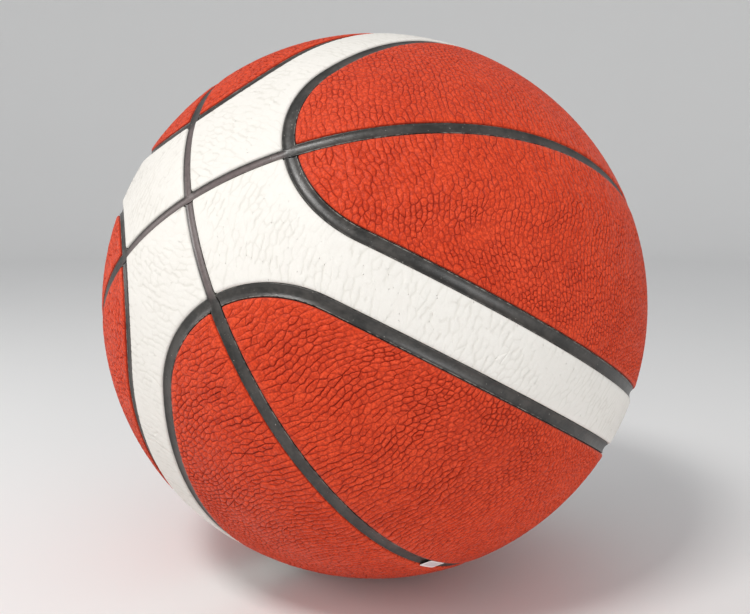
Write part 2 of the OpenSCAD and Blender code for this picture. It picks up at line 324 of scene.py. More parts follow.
# Rows of pebbles stand at whole numbers. On the sheet they are millimetres, waved, and closer near the loop.
def rowsToSheet(cell, sheet):
    grain = sheet["grain"]
    depth = cell[:, 1] * grain["across"]
    if grain["tighten"]:
        depth = grain["across"] / grain["tighten"] * np.expm1(grain["tighten"] * cell[:, 1])
    x = cell[:, 0] * grain["along"] * columnPull(depth, sheet)
    y = depth + rowLine(x, sheet)
    return np.stack([x + swellAt(sheet["bends"][0], x, y), y + swellAt(sheet["bends"][1], x, y)], axis=-1)


def sheetToRows(flat, sheet):
    grain = sheet["grain"]
    guess = flat.copy()
    for _ in range(30):  # takes the waves out step by step
        guess = flat - np.stack([swellAt(b, guess[:, 0], guess[:, 1]) for b in sheet["bends"]], axis=-1)
    depth = guess[:, 1] - rowLine(guess[:, 0], sheet)
    x, y = guess[:, 0] / columnPull(depth, sheet) / grain["along"], depth / grain["across"]
    if grain["tighten"]:
        y = np.log1p(grain["tighten"] * y) / grain["tighten"]
    return np.stack([x, y], axis=-1)


# The middles of the pebbles in rows, and the mirror images of those near the border.
def scatterPebbles(draw, grain, pieces, outline):
    low, high = outline.min(axis=0) - 1, outline.max(axis=0) + 1
    columns = np.arange(math.floor(low[0]), math.ceil(high[0]) + 1)
    rows = np.arange(math.floor(low[1]), math.ceil(high[1]) + 1)
    grid = np.array([(c, r + 0.5 * (c % 2)) for c in columns for r in rows])
    grid = grid + draw.uniform(-1, 1, grid.shape) * grain["scatter"]
    grid = grid[draw.uniform(size=len(grid)) > grain["missing"]]
    grid = grid[insideOutline(grid, outline)]
    edge = treeOf(evenly(np.concatenate([outline, outline[:1]]), 0.03))
    grid = grid[nearestOn(edge, grid)[1] > grain["clear"]]
    mirrored = []
    for piece in pieces:
        near, gap = nearestOn(treeOf(evenly(piece, 0.02)), grid)
        mirrored.append((2 * near - grid)[gap < grain["mirror"]])
    return grid, np.concatenate(mirrored)


def circleCentres(corners):
    a, b, c = corners[:, 0], corners[:, 1], corners[:, 2]
    ab, ac = b - a, c - a
    twist = 2 * (ab[:, 0] * ac[:, 1] - ab[:, 1] * ac[:, 0])
    twist = np.where(np.abs(twist) < 1e-9, 1e-9, twist)
    ab2, ac2 = (ab**2).sum(axis=1), (ac**2).sum(axis=1)
    x = (ac[:, 1] * ab2 - ab[:, 1] * ac2) / twist
    y = (ab[:, 0] * ac2 - ac[:, 0] * ab2) / twist
    return a + np.stack([x, y], axis=-1)


# Triangles between neighbouring pebbles: the centres of their circles, and the pebbles at their corners.
def pebbleTriangles(points):
    verts, _, faces, sources, _, _ = delaunay_2d_cdt([Vector(p) for p in points.tolist()], [], [], 0, 1e-6)
    where = np.array([v[:] for v in verts])
    tris = np.array([f[:] for f in faces if len(f) == 3])
    a, b, c = where[tris[:, 0]], where[tris[:, 1]], where[tris[:, 2]]
    turned = (b[:, 0] - a[:, 0]) * (c[:, 1] - a[:, 1]) - (b[:, 1] - a[:, 1]) * (c[:, 0] - a[:, 0]) < 0
    tris[turned] = tris[turned][:, ::-1]
    return circleCentres(where[tris]), np.array([s[0] for s in sources])[tris]


# Creases too short to see close up: the triangles at their two ends get one leader.
def closedUp(triangleAt, centres, real, shortest):
    group = list(range(len(centres)))

    def leader(t):
        while group[t] != t:
            group[t] = group[group[t]]
            t = group[t]
        return t

    for (s, m), t in triangleAt.items():
        if s < m and s < real and (m, s) in triangleAt:
            other = triangleAt[(m, s)]
            if np.abs(centres[t] - centres[other]).max() < shortest:
                group[leader(t)] = leader(other)
    return np.array([leader(t) for t in range(len(centres))])


# Shares of its length at which a crease has points between its ends.
def creaseShares(grain, reach, steep, border):
    if not border and steep < 0.8 and reach > 0.8:
        return [grain["bendAt"] / reach, 0.5, 1 - grain["bendAt"] / reach]
    count = max(1, int(round(reach / (grain["edgeStep"] if border else grain["step"]))))
    return [k / count for k in range(1, count)]


# Creases across the panel are strong, and those along it are weak near the ring.
def creaseStrength(draw, sheet, a, b, steep):
    grain = sheet["grain"]
    far = min(1.0, abs(sheet["ringEdge"] - 0.5 * (a[1] + b[1])) / grain["crossReach"])
    cross = grain["cross"][0] * (1 - far) + grain["cross"][1] * far
    streak = float(swellAt(sheet["streaks"], np.array(0.5 * (a[0] + b[0])), np.array(0.5 * (a[1] + b[1]))))
    strength = cross + (1 - cross) * steep ** grain["steepPower"] * (1 + streak)
    return max(0.1, strength) * draw.uniform(grain["faint"], 1.1)


# The network of creases between pebbles: its points, their depths, and a loop of points per pebble.
def creaseNet(draw, sheet, seeds, ghosts, edgeTree, corners):
    grain = sheet["grain"]
    real = len(seeds)
    centres, ids = pebbleTriangles(np.concatenate([seeds, ghosts]))
    centres = rowsToSheet(centres, sheet)
    onEdge = (ids >= real).any(axis=1)
    centres[onEdge] = nearestOn(edgeTree, centres[onEdge])[0]

    follow, triangleAt = {}, {}
    for t, (p, q, r) in enumerate(ids.tolist()):
        for s, m, n in ((p, q, r), (q, r, p), (r, p, q)):
            follow[(s, m)] = n
            triangleAt[(s, m)] = t
    leaders = closedUp(triangleAt, centres, real, grain["merge"])
    spot, edgeFlag, index = [], [], {}
    for r in sorted(set(leaders.tolist())):
        members = leaders == r
        index[r] = len(spot)
        spot.append(centres[members].mean(axis=0))
        edgeFlag.append(bool(onEdge[members].any()))
    node = [index[r] for r in leaders.tolist()]
    strengths = [[] for _ in spot]
    creases = {}

    def creaseBetween(s, m):
        key = (s, m) if s < m else (m, s)
        if key not in creases:
            start, stop = node[triangleAt[(key[1], key[0])]], node[triangleAt[key]]
            border = key[1] >= real
            a, b = np.array(spot[start]), np.array(spot[stop])
            reach = float(np.linalg.norm(b - a))
            steep = abs(b[1] - a[1]) / max(reach, 1e-6)
            strength = creaseStrength(draw, sheet, a, b, steep)
            made = []
            for share in creaseShares(grain, reach, steep, border):
                p = a + (b - a) * share
                if not border:
                    side = np.array([a[1] - b[1], b[0] - a[0]]) / reach
                    p = p + side * draw.normal() * min(grain["wander"], reach * 0.06)
                made.append(len(spot))
                spot.append(p)
                edgeFlag.append(border)
                strengths.append([strength])
            for end in (start, stop):
                strengths[end].append(min(grain["strongest"], strength))
            creases[key] = (start, made, stop)
        start, made, stop = creases[key]
        if node[triangleAt[(m, s)]] == start:
            return [start] + made
        return [stop] + made[::-1]

    pebbles = []
    firstNeighbour = {}
    for s, m in follow:
        if s < real:
            firstNeighbour.setdefault(s, m)
    for s, first in firstNeighbour.items():
        loop, m = [], first
        while (m, s) in triangleAt and (s, m) in triangleAt:
            if node[triangleAt[(m, s)]] != node[triangleAt[(s, m)]]:
                loop += creaseBetween(s, m)
            m = follow[(s, m)]
            if m == first:
                break
        if m == first and len(set(loop)) >= 3:
            pebbles.append(loop)
    spot, edgeFlag = np.array(spot), np.array(edgeFlag)
    onBorder = np.where(edgeFlag)[0]
    spot[onBorder] = nearestOn(edgeTree, spot[onBorder])[0]
    for corner in corners:
        gaps = np.linalg.norm(spot[onBorder] - corner, axis=1)
        spot[onBorder[gaps.argmin()]] = corner
    deep = np.array([max(found) if found else 0.5 for found in strengths])
    return spot, deep, pebbles


# The points of the panel's border, in order: the sides that only one pebble uses.
def borderChain(loops):
    used = set()
    for loop in loops:
        used.update((v, loop[(k + 1) % len(loop)]) for k, v in enumerate(loop))
    after = {v: w for v, w in used if (w, v) not in used}
    start = min(after)
    chain, v = [start], after[start]
    while v != start:
        chain.append(v)
        v = after[v]
    if len(chain) != len(after):
        print("  border points left over:", len(after) - len(chain))
    return chain


# A place is a turn on the ball, and where it also mirrors, the faces are turned round.
def meshFrom(name, points, faces, sharp=None, scale=mm, place=None):
    if place is not None:
        points = points @ place.T
        faces = [f[::-1] for f in faces] if np.linalg.det(place) < 0 else faces
    mesh = bpy.data.meshes.new(name)
    mesh.from_pydata((np.asarray(points) * scale).tolist(), [], faces)
    mesh.update()
    mesh.polygons.foreach_set("use_smooth", [True] * len(mesh.polygons))
    if sharp:
        mesh.set_sharp_from_angle(angle=math.radians(sharp))
    piece = bpy.data.objects.new(name, mesh)
    bpy.context.collection.objects.link(piece)
    return piece


def addMask(piece, name, values):
    layer = piece.data.attributes.new(name, "FLOAT", "POINT")
    layer.data.foreach_set("value", np.asarray(values, np.float32))


def edgeGap(points, white, notched):
    nearRing, farRing, loop = seamGaps(points)
    if white:
        return np.minimum(np.minimum(nearRing, farRing) - whiteSide, -loop - loopSide)
    gap = np.minimum(nearRing - ringSide, loop - loopSide)
    if notched:
        fromBoss = crown * np.arccos(np.clip(np.abs(points @ bossAxes[2]), -1, 1))
        gap = np.minimum(gap, fromBoss - boss["outer"] - seam["gap"])
    return gap


def signedArea(p):
    return 0.5 * sum(p[k - 1][0] * p[k][1] - p[k][0] * p[k - 1][1] for k in range(len(p)))


# One pebble as rings that climb from its creases to its middle: their points, depths and painted crease shade, and
# its tone.
def domedPebble(draw, grain, ring, deep):
    middle = ring.mean(axis=0)
    way = np.roll(ring, -1, axis=0) - np.roll(ring, 1, axis=0)
    inward = np.stack([-way[:, 1], way[:, 0]], axis=-1)
    inward = inward / np.maximum(np.linalg.norm(way, axis=1, keepdims=True), 1e-6)
    narrow = max(grain["narrowest"], float(np.min(np.abs(((middle - ring) * inward).sum(axis=1)))))
    away = np.linalg.norm(ring - middle, axis=1).mean()
    tone, lift = draw.normal(), draw.uniform(0, grain["uneven"])
    spots, sinks, creaseShades = [], [], []
    for share, drop, paintedShade in grain["dome"]:
        width = min(grain["crease"], grain["room"] * narrow) * share
        spots.append(0.6 * (ring + inward * width) + 0.4 * (ring + (middle - ring) * width / max(away, 0.1)))
        sinks.append(np.minimum(0.9 * deep, lift + drop * deep))
        creaseShades.append(paintedShade * deep)
    return spots + [middle[None]], sinks + [np.array([lift])], creaseShades + [np.array([0.0])], tone


# The underside as a coarse sheet on the panel's border, and the wall between them.
def underSheet(rim, chain, count):
    step = ball["underStep"]
    low, high = rim.min(axis=0) + (3, 3), rim.max(axis=0)
    grid = np.array([(x, y) for x in np.arange(low[0], high[0], step) for y in np.arange(low[1], high[1], step)])
    grid = grid[insideOutline(grid, rim)]
    grid = grid[nearestOn(treeOf(rim), grid)[1] > 2.5]
    ring = [(k, (k + 1) % len(chain)) for k in range(len(chain))]
    both = [Vector(p) for p in np.concatenate([rim, grid]).tolist()]
    verts, _, cap, sources, _, _ = delaunay_2d_cdt(both, ring, [], 1, 1e-6)
    flat = np.array([v[:] for v in verts])
    index = {m: k for k, found in enumerate(sources) for m in found}
    faces = []
    for k, j in ring:
        if index[k] != index[j]:
            faces.append((chain[j], chain[k], count + index[k], count + index[j]))
    for f in cap:
        order = f if signedArea([flat[k] for k in f]) < 0 else f[::-1]
        faces.append(tuple(count + k for k in order))
    return flat, faces


# One panel as a closed mesh: pebbles on top, a wall down its border and a coarse underside.
def leatherPanel(name, pieces, layout, place, grain, seed, notched=False):
    draw = np.random.default_rng(seed)
    flat = [laidOut(piece, layout) for piece in pieces]
    outline, corners = roundedOutline(flat, grain["corner"])
    reach, size = grain["swellLength"], grain["swell"]
    headings = ((size, math.pi / 2), (0.7 * size, 0.0))
    bends = [makeSwell(draw, 7, 0.7 * reach, 1.7 * reach, high, heading, 0.35) for high, heading in headings]
    streaks = makeSwell(draw, 8, 3.5, 12, grain["streak"], 0.0, 0.3)
    sheet = {"grain": grain, "bends": bends, "streaks": streaks, "ringEdge": outline[:, 1].max()}
    rowPieces = [sheetToRows(piece, sheet) for piece in flat]
    seeds, ghosts = scatterPebbles(draw, grain, rowPieces, sheetToRows(outline, sheet))
    edgeTree = treeOf(evenly(np.concatenate([outline, outline[:1]]), 0.05))
    spot, deep, pebbles = creaseNet(draw, sheet, seeds, ghosts, edgeTree, corners)
    chain = borderChain(pebbles)
    patches = makeSwell(draw, 9, 9, 40, grain["patchy"])
    deep = deep * np.clip(0.9 + swellAt(patches, spot[:, 0], spot[:, 1]), 0.4, grain["strongest"])

    top, sink, tone, creaseshade = [spot], [deep], [np.zeros(len(spot))], [deep]
    faces = []
    count = len(spot)
    for loop in pebbles:
        n = len(loop)
        spots, sinks, creaseShades, pebbleTone = domedPebble(draw, grain, spot[loop], deep[loop])
        top += spots
        sink += sinks
        creaseshade += creaseShades
        tone.append(np.full(2 * n + 1, pebbleTone))
        for k in range(n):
            j = (k + 1) % n
            faces.append((loop[k], loop[j], count + j, count + k))
            faces.append((count + k, count + j, count + n + j, count + n + k))
            faces.append((count + n + k, count + n + j, count + 2 * n))
        count += 2 * n + 1
    top, sink = np.concatenate(top), np.concatenate(sink)
    directions = wrapped(top, layout)
    gap = np.maximum(edgeGap(directions, grain["white"], notched), 0)
    gap[chain] = 0
    turnDown = ball["edgeDrop"] * np.clip(1 - gap / grain["edgeWidth"], 0, 1) ** ball["edgePower"]
    nearEdge = np.clip(1 - gap / (2 * grain["edgeWidth"]), 0, 1)
    radius = crown - sink * grain["depth"] * (1 - ball["edgeCalm"] * nearEdge) - turnDown

    underFlat, underFaces = underSheet(top[chain], chain, count)
    faces += underFaces
    under = np.full(len(underFlat), ball["under"])
    points = np.concatenate([directions, wrapped(underFlat, layout)]) * np.concatenate([radius, under])[:, None]
    piece = meshFrom(name, points, faces, ball["sharp"], place=place)
    # This mask darkens the creases and the foot of each pebble: painted shade.
    addMask(piece, "creaseshade", np.concatenate(creaseshade + [0 * under]))
    addMask(piece, "tone", np.concatenate(tone + [0 * under]))
    print("  ", name, len(pebbles), "pebbles,", len(faces), "faces")
    return piece


# Rubber strips in the seams

stripCut = {
    "step": 1.25,  # spacing of the rows of points along a seam
    "columns": (0.1, 0.32, 0.52, 0.68, 0.8, 0.88, 0.93, 0.975, 1),  # places across it, as shares of half the width
    "back": 0.08,  # how far it stands back from the line of the seam's edge
    "loopBack": 0.28,  # the same on the side where glue has drawn away
    "ringBack": 0.55,  # the same beside a ring
    "lipRound": 0.16,  # how far the outer edge of a lip is rounded down
    "dustAndHighlightFrom": 0.84,  # where the dust and painted highlight on a lip start, as a share of half the width
    "dustAndHighlightOther": 0.35,  # share of the dust and painted highlight on the other side
    "rough": 0.035,  # height of the bumps
    "sink": 0.03,  # how much lower the bumpy surface lies than the smooth one
    "sway": 0.07,  # how much the width varies
}
columns = np.array([-share for share in stripCut["columns"][::-1]] + list(stripCut["columns"]))


def smoothStep(t):
    t = np.clip(t, 0, 1)
    return t * t * (3 - 2 * t)


def ringHalfWidth(loop):
    inside = smoothStep(loop / seam["loopWidth"] + 0.5)
    return (seam["whiteWidth"] + (seam["ringWidth"] - seam["whiteWidth"]) * inside) / 2


def hollow(share):
    return np.clip(1 - (np.abs(share) / seam["lipShare"]) ** seam["hollow"], 0, 1)


# How deep the channel is at a place, from 0 on the lips to 1 on the floor, all seams taken together.
def channelAt(directions):
    nearRing, farRing, loop = seamGaps(directions)
    half = ringHalfWidth(loop)
    shares = [nearRing / half, farRing / half, loop / (seam["loopWidth"] / 2)]
    return np.minimum(sum(hollow(s) ** 4 for s in shares) ** 0.25, 1.0)


def wobble(points, scale, offset):
    return np.array([noise.noise(Vector(p) * scale + Vector((offset, 0.3 * offset, 0))) for p in points])


# The faces between rows of points. The rows, and the points in a row, may close to a ring.
def gridFaces(rows, width, closedRows, closedAcross):
    faces = []
    for r in range(rows if closedRows else rows - 1):
        s = (r + 1) % rows
        for c in range(width if closedAcross else width - 1):
            d = (c + 1) % width
            faces.append((r * width + c, r * width + d, s * width + d, s * width + c))
    return faces


# The points of a profile (radius and height) that goes round the third axis.
def spunPoints(profile, axes, segments):
    points = []
    for k in range(segments):
        turn = 2 * math.pi * k / segments
        level = math.cos(turn) * axes[0] + math.sin(turn) * axes[1]
        points += [height * axes[2] + r * level for r, height in profile]
    return np.array(points)


# A strip from rows of places on the ball, with its underside on the carcass.
def stripGrid(directions, isRing, dustAndHighlightSide, closed=False):
    rows, width = len(directions), len(columns) + 2
    flat = directions.reshape(-1, 3)
    across = np.tile(columns, rows)
    channel = channelAt(flat)
    side = np.abs(across)
    lip = np.clip((side - seam["lipShare"]) / (1 - seam["lipShare"]), 0, 1)
    # Dust along the lips with a painted highlight, stronger on one side.
    dustAndHighlight = np.where(across * dustAndHighlightSide > 0, 1, stripCut["dustAndHighlightOther"])
    lipDustAndHighlight = np.clip((side - stripCut["dustAndHighlightFrom"]) / 0.1, 0, 1) * dustAndHighlight
    rounding = stripCut["lipRound"] * lip**2.5 * (1 - channel)
    bumps = stripCut["rough"] * (wobble(flat * crown, 0.35, 3.1) + 0.6 * wobble(flat * crown, 1.1, 7.7))
    radius = seam["lip"] - (seam["lip"] - seam["floor"]) * channel - rounding + bumps - stripCut["sink"]
    top = (flat * radius[:, None]).reshape(directions.shape)
    points = np.concatenate([top, directions[:, [-1, 0]] * seam["base"]], axis=1)
    pale = smoothStep(-seamGaps(flat)[2] / seam["loopWidth"]) * isRing
    masks = {"channel": channel, "lip": lipDustAndHighlight * (1 - channel), "pale": pale}
    for key, mask in masks.items():
        masks[key] = np.concatenate([mask.reshape(rows, -1), np.zeros((rows, 2))], axis=1).ravel()
    faces = gridFaces(rows, width, closed, True)
    if not closed:
        faces.append(tuple(range(width))[::-1])
        faces.append(tuple((rows - 1) * width + c for c in range(width)))
    return points.reshape(-1, 3), faces, masks


# One piece from one or more strips.
def stripPiece(name, parts, place):
    faces, count = [], 0
    for points, partFaces, _ in parts:
        faces += [tuple(v + count for v in f) for f in partFaces]
        count += len(points)
    piece = meshFrom(name, np.concatenate([part[0] for part in parts]), faces, 50, place=place)
    for key in ("channel", "lip", "pale"):
        addMask(piece, key, np.concatenate([part[2][key] for part in parts]))
    print("  ", name, len(faces), "faces")
    return piece


# A length of ring seam, wider between coloured panels than between white ones, with more dust and a painted highlight
# on one side.
def ringGrid(start, stop, dustAndHighlightSide, closed=False):
    count = int(abs(stop - start) * crown / stripCut["step"])
    turns = np.linspace(start, stop, count + 1)[: -1 if closed else None]
    middle = circlePoint(ringAxes, np.pi / 2, turns)
    half = ringHalfWidth(seamGaps(middle)[2])
    sway = 1 + stripCut["sway"] * wobble(middle * crown, 0.5, 12.0)
    back = np.where(columns * dustAndHighlightSide > 0, stripCut["ringBack"], stripCut["back"])
    reach = -columns * (half[:, None] - back) / crown
    reach[:, 0] *= sway
    reach[:, -1] *= np.roll(sway, 5)
    directions = circlePoint(ringAxes, np.pi / 2 + reach, turns[:, None] + 0 * reach)
    return stripGrid(directions, 1, dustAndHighlightSide, closed)


# A loop seam from ring to ring: lower end, side and upper end.
def loopGrid():
    half = seam["loopWidth"] / 2
    offset = columns * (half - np.where(columns < 0, stripCut["loopBack"], stripCut["back"]))
    ringReach = (ringHalfWidth(-offset) - 0.05) / crown
    endAt = endHalf + offset / crown
    tip = np.pi - np.arcsin(np.sin(ringReach) / np.sin(endAt))
    rows = int(seam["endRadius"] * endSweep / stripCut["step"])
    s = np.linspace(0, 1, rows + 1)[:, None]
    tipTurn = (tip[None, :] - math.pi + endSweep) * s
    upper = circlePoint(endAxes, endAt[None, :] + 0 * s, math.pi - endSweep + tipTurn)
    length = (math.pi - 2 * sideStart) * crown
    turns = np.linspace(sideStart, math.pi - sideStart, int(length / stripCut["step"]))[1:-1, None]
    along = circlePoint(sideAxes, sideHalf + offset[None, :] / crown + 0 * turns, turns + 0 * offset[None, :])
    lower = upper[::-1] * upsideDown
    return stripGrid(np.concatenate([lower, along, upper]), 0, -1)


# The round boss that the valve sits in.
def bossRing():
    outer, hole, top, cut = boss["outer"], boss["hole"], boss["top"], boss["chamfer"]
    profile = [
        (outer, seam["base"]), (outer, top - cut), (outer - 0.12, top - 0.5 * cut), (outer - 0.34, top - 0.08),
        (outer - 0.6, top), (hole + 0.45, top), (hole + 0.2, top - 0.05), (hole + 0.05, top - 0.17),
        (hole, top - cut), (hole, seam["base"]),
    ]
    profile = [(r, height - (crown - math.sqrt(crown**2 - r**2))) for r, height in profile]
    segments = 72
    faces = [f[::-1] for f in gridFaces(segments, len(profile), True, True)]
    # Dust and a painted highlight along the boss's rounded edges.
    lipDustAndHighlight = np.tile([0, 0.2, 0.6, 0.8, 0.3, 0.3, 0.6, 0.8, 0, 0], segments)
    return spunPoints(profile, bossAxes, segments), faces, {"channel": 0 * lipDustAndHighlight, "lip": lipDustAndHighlight, "pale": 0 * lipDustAndHighlight}


# The blank label

label = {
    "length": 10.0, "width": 6.0, "thick": 0.1, "round": 0.45,
    "shift": 2.0, "turn": 1.0,  # distance along the ring from the middle of the bottom loop, and degrees off the ring
    "height": 120.71, "sag": 0.1,  # radius of its underside at its long sides, and how far its middle sags
}


# A thin paper patch with round corners that sags a little over the seam.
def blankLabel(name):
    rows, lines = 21, 13
    halfL, halfW, r = label["length"] / 2, label["width"] / 2, label["round"]
    points, inner = [], []
    for k in range(rows):
        for j in range(lines):
            x, y = halfW * (2 * j / (lines - 1) - 1), halfL * (2 * k / (rows - 1) - 1)
            over = max(0.0, abs(y) - (halfL - r))
            if over > 0:
                x *= 1 - (r - math.sqrt(max(0.0, r * r - over * over))) / halfW
            points.append((x, y))
            inner.append(min(halfW - abs(x), halfL - abs(y)))
    points, inner = np.array(points), np.array(inner)
    sag = label["sag"] * (1 - (points[:, 0] / halfW) ** 2)
    turned = axisTurn("X", 90) @ axisTurn("X", math.degrees(label["shift"] / crown)) @ axisTurn("Z", label["turn"])
    layers = []
    for lift in (0, label["thick"]):
        high = label["height"] + lift - sag
        layers.append(np.column_stack([points, np.sqrt(high**2 - (points**2).sum(axis=1))]))
    both = np.concatenate(layers) @ (lying @ turned).T
    faces, n = [], rows * lines
    for f in gridFaces(rows, lines, False, False):
        faces += [tuple(n + v for v in f), f[::-1]]
    rim = list(range(lines)) + [k * lines + lines - 1 for k in range(1, rows)]
    rim += [(rows - 1) * lines + j for j in range(lines - 2, -1, -1)] + [k * lines for k in range(rows - 2, 0, -1)]
    for k, v in enumerate(rim):
        w = rim[(k + 1) % len(rim)]
        faces.append((v, w, n + w, n + v))
    piece = meshFrom(name, both, faces, 50)
    addMask(piece, "inner", np.concatenate([inner, inner]))
    return piece


# Finishes


def newMaterial(name):
    finish = bpy.data.materials.new(name)
    finish.use_nodes = True
    return finish, finish.node_tree, finish.node_tree.nodes["Principled BSDF"]


# A plain number or colour is set on the socket, and another socket is linked to it.
def feed(socket, value):
    if isinstance(value, (int, float, tuple)):
        socket.default_value = value
    else:
        socket.id_data.links.new(value, socket)


# The helpers below that take no tree use that of their first socket.
def mathNode(tree, operation, first, second, clamp=False):
    node = tree.nodes.new("ShaderNodeMath")
    node.operation = operation
    node.use_clamp = clamp
    feed(node.inputs[0], first)
    feed(node.inputs[1], second)
    return node.outputs[0]


def plus(first, second, clamp=False):
    return mathNode(first.id_data, "ADD", first, second, clamp)


def times(first, second):
    return mathNode(first.id_data, "MULTIPLY", first, second)


def mixColours(tree, factor, first, second, blend="MIX"):
    node = tree.nodes.new("ShaderNodeMix")
    node.data_type = "RGBA"
    node.blend_type = blend
    node.clamp_factor = True
    for key, value in ((0, factor), (6, first), (7, second)):
        feed(node.inputs[key], value)
    return node.outputs[2]


def noiseNode(vector, scale, detail, rough, warp=0.0):
    tree = vector.id_data
    node = tree.nodes.new("ShaderNodeTexNoise")
    values = {"Vector": vector, "Scale": scale, "Detail": detail, "Roughness": rough, "Distortion": warp}
    for key, value in values.items():
        feed(node.inputs[key], value)
    return node.outputs["Fac"]


def spreadNode(value, low, high, outLow=0.0, outHigh=1.0):
    tree = value.id_data
    node = tree.nodes.new("ShaderNodeMapRange")
    node.interpolation_type = "SMOOTHSTEP"
    values = {"Value": value, "From Min": low, "From Max": high, "To Min": outLow, "To Max": outHigh}
    for key, number in values.items():
        feed(node.inputs[key], number)
    return node.outputs["Result"]


def attributeNode(tree, name):
    node = tree.nodes.new("ShaderNodeAttribute")
    node.attribute_name = name
    return node.outputs["Fac"]


def objectPlace(tree):
    return tree.nodes.new("ShaderNodeTexCoord").outputs["Object"]


# In each look, bump is its strength and distance.
# The leathers' crease colour is painted shade in their creases.
leatherLooks = {
    "orange leather": {
        "inputs": {
            "Crown": (0.735, 0.066, 0.016, 1), "Shade": (0.635, 0.045, 0.007, 1), "Crease shade colour": (0.27, 0.013, 0.002, 1),
            "Worn": (0.70, 0.14, 0.06, 1), "Mottle": (0.64, 0.53, 0.45, 1), "Tone amount": 0.14, "Gloss": 0.45,
        },
        "shader": {"Specular IOR Level": 0.2, "Sheen Weight": 0.06, "Sheen Roughness": 0.5},
        "bump": (0.8, 0.0004),
    },
    "white leather": {
        "inputs": {
            "Crown": (0.782, 0.758, 0.714, 1), "Shade": (0.76, 0.735, 0.69, 1), "Crease shade colour": (0.69, 0.665, 0.615, 1),
            "Worn": (0.785, 0.76, 0.72, 1), "Mottle": (0.985, 0.983, 0.98, 1), "Tone amount": 0.1, "Gloss": 0.45,
        },
        "shader": {"Specular IOR Level": 0.2},
        "bump": (0.25, 0.0003),
    },
}
# In the rubber looks, the dust colour stands for dust and, along the seams' lips, a painted highlight.
rubberLooks = {
    "seam rubber": {
        "inputs": {
            "Base": (0.013, 0.012, 0.010, 1), "Patch": (0.046, 0.041, 0.036, 1), "Dust and highlight": (0.42, 0.40, 0.36, 1),
            "Pale colour": (0.125, 0.095, 0.092, 1), "Dust and highlight amount": 0.8, "Gloss": 0.27,
        },
        "shader": {"Specular IOR Level": 0.6},
        "bump": (0.55, 0.0003),
    },
    "carcass rubber": {
        "inputs": {
            "Base": (0.030, 0.028, 0.027, 1), "Patch": (0.050, 0.046, 0.044, 1), "Dust and highlight": (0.3, 0.29, 0.27, 1),
            "Dust and highlight amount": 0.3, "Gloss": 0.5,
        },
        "shader": {"Specular IOR Level": 0.4},
        "bump": (0.5, 0.0004),
    },
    "butyl rubber": {
        "inputs": {
            "Base": (0.020, 0.020, 0.021, 1), "Patch": (0.034, 0.034, 0.036, 1), "Dust and highlight": (0.26, 0.26, 0.25, 1),
            "Dust and highlight amount": 0.35, "Gloss": 0.38,
        },
        "shader": {"Specular IOR Level": 0.5},
        "bump": (0.4, 0.0003),
    },
    "core rubber": {
        "inputs": {
            "Base": (0.30, 0.13, 0.06, 1), "Patch": (0.38, 0.18, 0.09, 1), "Dust and highlight": (0.6, 0.5, 0.42, 1),
            "Dust and highlight amount": 0.25, "Gloss": 0.45,
        },
        "shader": {"Specular IOR Level": 0.5},
        "bump": (0.3, 0.0002),
    },
}


# A node group from its inputs and their values (None is a place), with a colour, a roughness and a fine height.
def newGroup(name, inputs):
    tree = bpy.data.node_groups.new(name, "ShaderNodeTree")
    for key, value in inputs.items():
        kind = "Vector" if value is None else "Color" if isinstance(value, tuple) else "Float"
        socket = tree.interface.new_socket(name=key, in_out="INPUT", socket_type="NodeSocket" + kind)
        if value is not None:
            socket.default_value = value
    for key, kind in (("Color", "Color"), ("Roughness", "Float"), ("Height", "Float")):
        tree.interface.new_socket(name=key, in_out="OUTPUT", socket_type="NodeSocket" + kind)
    return tree, tree.nodes.new("NodeGroupInput").outputs


def groupOutputs(tree, colour, rough, height):
    out = tree.nodes.new("NodeGroupOutput")
    for key, value in (("Color", colour), ("Roughness", rough), ("Height", height)):
        feed(out.inputs[key], value)
    return tree


def makeLeatherGroup():
    inputs = leatherLooks["orange leather"]["inputs"]
    tree, into = newGroup("pebbled leather", dict(inputs, Place=None, CreaseShade=0.0, Tone=0.0))
    place = into["Place"]
    broad = spreadNode(noiseNode(place, 32, 3, 0.55, 0.4), 0.36, 0.64)
    middle = spreadNode(noiseNode(place, 210, 3, 0.6, 0.3), 0.35, 0.68)
    fine = noiseNode(place, 1150, 3, 0.6)
    pores = noiseNode(place, 2900, 1, 0.5)
    blend = plus(times(middle, 0.45), times(broad, 0.4))
    blend = plus(blend, times(into["Tone"], into["Tone amount"]), clamp=True)
    colour = mixColours(tree, blend, into["Crown"], into["Shade"])
    mottled = mixColours(tree, 1.0, colour, into["Mottle"], "MULTIPLY")
    colour = mixColours(tree, spreadNode(fine, 0.36, 0.62), mottled, colour)
    rub = spreadNode(fine, 0.58, 0.76)
    rub = times(rub, mathNode(tree, "SUBTRACT", 1.0, into["CreaseShade"], clamp=True))
    colour = mixColours(tree, times(rub, 0.35), colour, into["Worn"])
    # Painted shade in the creases, which are also rougher.
    paintedCreaseShade = times(spreadNode(into["CreaseShade"], 0.08, 0.85), spreadNode(fine, 0.25, 0.6, 0.75, 1.0))
    colour = mixColours(tree, paintedCreaseShade, colour, into["Crease shade colour"])
    rough = plus(plus(into["Gloss"], times(fine, 0.16)), times(paintedCreaseShade, 0.22))
    height = plus(plus(times(middle, 0.5), times(fine, 0.4)), times(pores, 0.1))
    return groupOutputs(tree, colour, rough, height)


